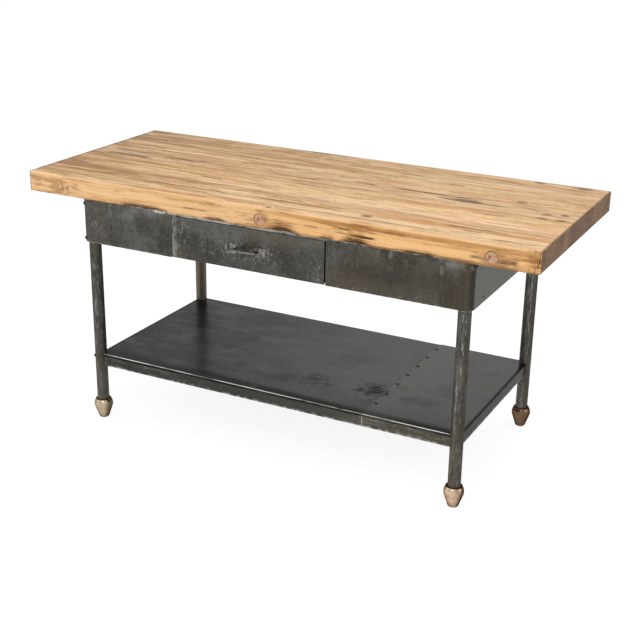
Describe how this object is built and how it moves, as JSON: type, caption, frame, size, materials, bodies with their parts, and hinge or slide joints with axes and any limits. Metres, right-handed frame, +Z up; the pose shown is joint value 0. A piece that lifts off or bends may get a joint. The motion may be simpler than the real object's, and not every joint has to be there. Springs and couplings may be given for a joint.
{
  "type": "kitchen island",
  "caption": "Kitchen island: thick laminated timber top on pipe legs with acorn feet, steel apron with a drawer, and a low steel shelf.",
  "frame": {"origin": "on the floor under the centre of the timber top", "axes": "+X along the length to the right as seen from the front, -Y out of the drawer front, +Z up"},
  "size_m": [1.83, 0.7688, 0.9],
  "materials": {
    "timber": "oiled laminated hardwood",
    "plug_timber": "oiled end-grain plug",
    "dark_steel": "dark patinated sheet, waxed",
    "waxed_steel": "dark satin sheet",
    "pipe_steel": "dark mottled pipe",
    "worn_steel": "dark steel with bright worn edges",
    "plain_steel": "plain",
    "bronze": "cast, dull"
  },
  "bodies": {
    "table": {"back_panel": "dark_steel", "bay_wall_left": "dark_steel", "bay_wall_right": "dark_steel", "corner_gussets": "dark_steel", "corner_plate_front_left": "dark_steel", "corner_plate_front_right": "dark_steel", "corner_plate_rear_left": "dark_steel", "corner_plate_rear_right": "dark_steel", "corner_screws": "worn_steel", "drawer_runner_left": "dark_steel", "drawer_runner_right": "dark_steel", "drawer_stop": "dark_steel", "drawer_top_rail": "dark_steel", "foot_front_left": "bronze", "foot_front_right": "bronze", "foot_rear_left": "bronze", "foot_rear_right": "bronze", "front_panel_left": "dark_steel", "front_panel_middle": "dark_steel", "front_panel_right": "dark_steel", "leg_front_left": "pipe_steel", "leg_front_right": "pipe_steel", "leg_rear_left": "pipe_steel", "leg_rear_right": "pipe_steel", "leg_welds": "pipe_steel", "seam_straps": "dark_steel", "shelf_rivets": "worn_steel", "shelf_sheet_left": "waxed_steel", "shelf_sheet_right": "waxed_steel", "side_panel_left": "dark_steel", "side_panel_right": "dark_steel", "side_rivets": "worn_steel", "tie_rod_nuts": "plain_steel", "tie_rod_washers": "plain_steel", "tie_rods": "plain_steel", "top_plugs": "plug_timber", "top_screws": "plain_steel", "top_strip_01": "timber", "top_strip_02": "timber", "top_strip_03": "timber", "top_strip_04": "timber", "top_strip_05": "timber", "top_strip_06": "timber", "top_strip_07": "timber", "top_strip_08": "timber", "top_strip_09": "timber", "top_strip_10": "timber", "top_strip_11": "timber", "top_strip_12": "timber", "top_strip_13": "timber", "top_strip_14": "timber", "top_strip_15": "timber", "top_strip_16": "timber", "top_strip_17": "timber"},
    "drawer": {"drawer_front": "dark_steel", "drawer_tray": "dark_steel", "drawer_stop_tab": "dark_steel", "pull_plates": "worn_steel", "pull_rod": "worn_steel", "pull_rivets": "worn_steel"}
  },
  "joints": [
    {"name": "drawer_slide", "type": "slide", "parent": "table", "child": "drawer", "axis": [0, -1, 0], "range_m": [0, 0.42]}
  ]
}
